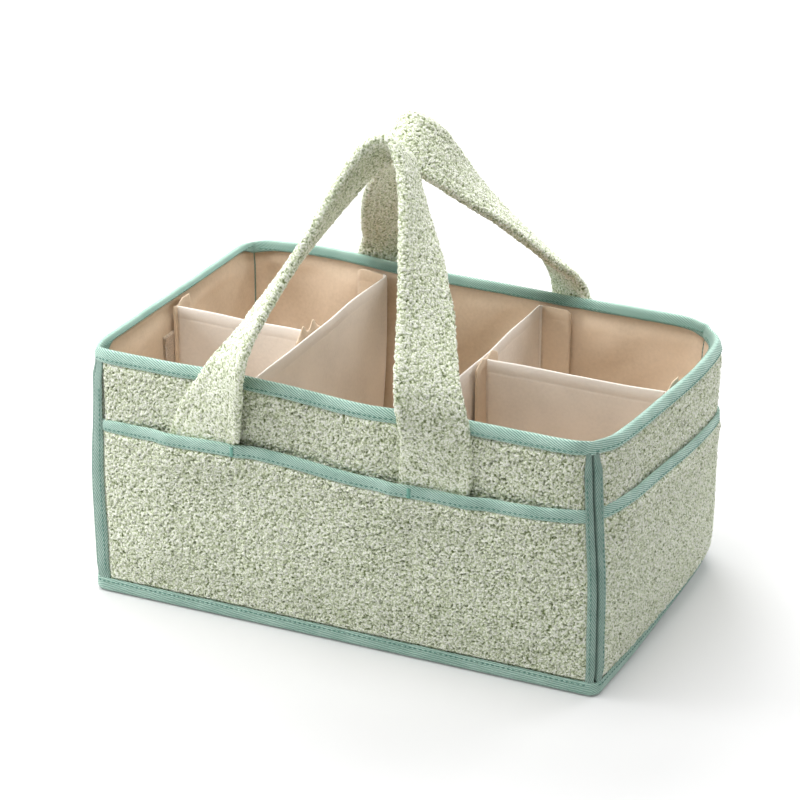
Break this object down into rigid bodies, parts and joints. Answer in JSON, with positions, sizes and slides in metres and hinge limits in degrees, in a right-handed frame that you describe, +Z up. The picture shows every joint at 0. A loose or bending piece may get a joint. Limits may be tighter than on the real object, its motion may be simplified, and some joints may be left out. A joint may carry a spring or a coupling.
{
  "type": "diaper caddy",
  "caption": "Soft rectangular carry caddy with plush walls, taped edges, outside pockets, swinging carry straps and removable dividers that form compartments.",
  "frame": {"origin": "middle of the underside, on the floor", "axes": "+X along the length to the right seen from the front, +Y from the front wall to the back wall, +Z up"},
  "size_m": [0.399, 0.253, 0.3383],
  "materials": {
    "plush": "curly loop pile, matte",
    "tape": "twill tape with a slight sheen",
    "lining": "fine plain weave",
    "divider": "fine plain weave over a stiffener",
    "board": "plain sheet",
    "hooks": "hook strip",
    "loops": "loop strip"
  },
  "bodies": {
    "caddy": {"front_panel": "plush", "front_board": "board", "front_lining": "lining", "front_pocket": "plush", "front_pocket_tape": "tape", "right_panel": "plush", "right_board": "board", "right_lining": "lining", "right_pocket": "plush", "right_pocket_tape": "tape", "back_panel": "plush", "back_board": "board", "back_lining": "lining", "back_pocket": "plush", "back_pocket_tape": "tape", "left_panel": "plush", "left_board": "board", "left_lining": "lining", "left_pocket": "plush", "left_pocket_tape": "tape", "front_panel_left_edge_tape": "tape", "front_panel_right_edge_tape": "tape", "right_panel_front_edge_tape": "tape", "right_panel_back_edge_tape": "tape", "back_panel_right_edge_tape": "tape", "back_panel_left_edge_tape": "tape", "left_panel_back_edge_tape": "tape", "left_panel_front_edge_tape": "tape", "rim_tape": "tape", "base_tape": "tape", "base_cloth": "plush", "base_board": "board", "base_lining": "lining", "front_handle_left_end": "plush", "front_handle_right_end": "plush", "back_handle_left_end": "plush", "back_handle_right_end": "plush", "left_cross_divider_front_tab": "divider", "left_cross_divider_front_hooks": "hooks", "front_wall_left_loops": "loops", "back_wall_left_loops": "loops", "left_wall_loops": "loops", "right_cross_divider_front_tab": "divider", "right_cross_divider_front_hooks": "hooks", "front_wall_right_loops": "loops", "back_wall_right_loops": "loops", "right_wall_loops": "loops"},
    "front_handle": {"front_handle": "plush"},
    "back_handle": {"back_handle": "plush"},
    "left_divider": {"left_divider": "divider", "left_divider_wall_hooks": "hooks", "left_divider_cross_hooks": "hooks"},
    "left_cross_divider": {"left_cross_divider": "divider", "left_cross_divider_back_hooks": "hooks"},
    "right_divider": {"right_divider": "divider", "right_divider_wall_hooks": "hooks", "right_divider_cross_hooks": "hooks"},
    "right_cross_divider": {"right_cross_divider": "divider", "right_cross_divider_back_hooks": "hooks"}
  },
  "joints": [
    {"name": "front_handle_swing", "type": "hinge", "parent": "caddy", "child": "front_handle", "pos_m": [0, -0.1216, 0.181], "axis": [1, 0, 0], "range_deg": [0, 180]},
    {"name": "back_handle_swing", "type": "hinge", "parent": "caddy", "child": "back_handle", "pos_m": [0, 0.1216, 0.181], "axis": [-1, 0, 0], "range_deg": [0, 180]},
    {"name": "left_divider_lift", "type": "slide", "parent": "caddy", "child": "left_divider", "axis": [0, 0, 1], "range_m": [0, 0.19]},
    {"name": "right_divider_lift", "type": "slide", "parent": "caddy", "child": "right_divider", "axis": [0, 0, 1], "range_m": [0, 0.19]},
    {"name": "left_cross_divider_swing", "type": "hinge", "parent": "caddy", "child": "left_cross_divider", "pos_m": [-0.0661, -0.1035, 0.09], "axis": [0, 0, -1], "range_deg": [0, 15]},
    {"name": "right_cross_divider_swing", "type": "hinge", "parent": "caddy", "child": "right_cross_divider", "pos_m": [0.0531, -0.1035, 0.09], "axis": [0, 0, 1], "range_deg": [0, 15]}
  ]
}
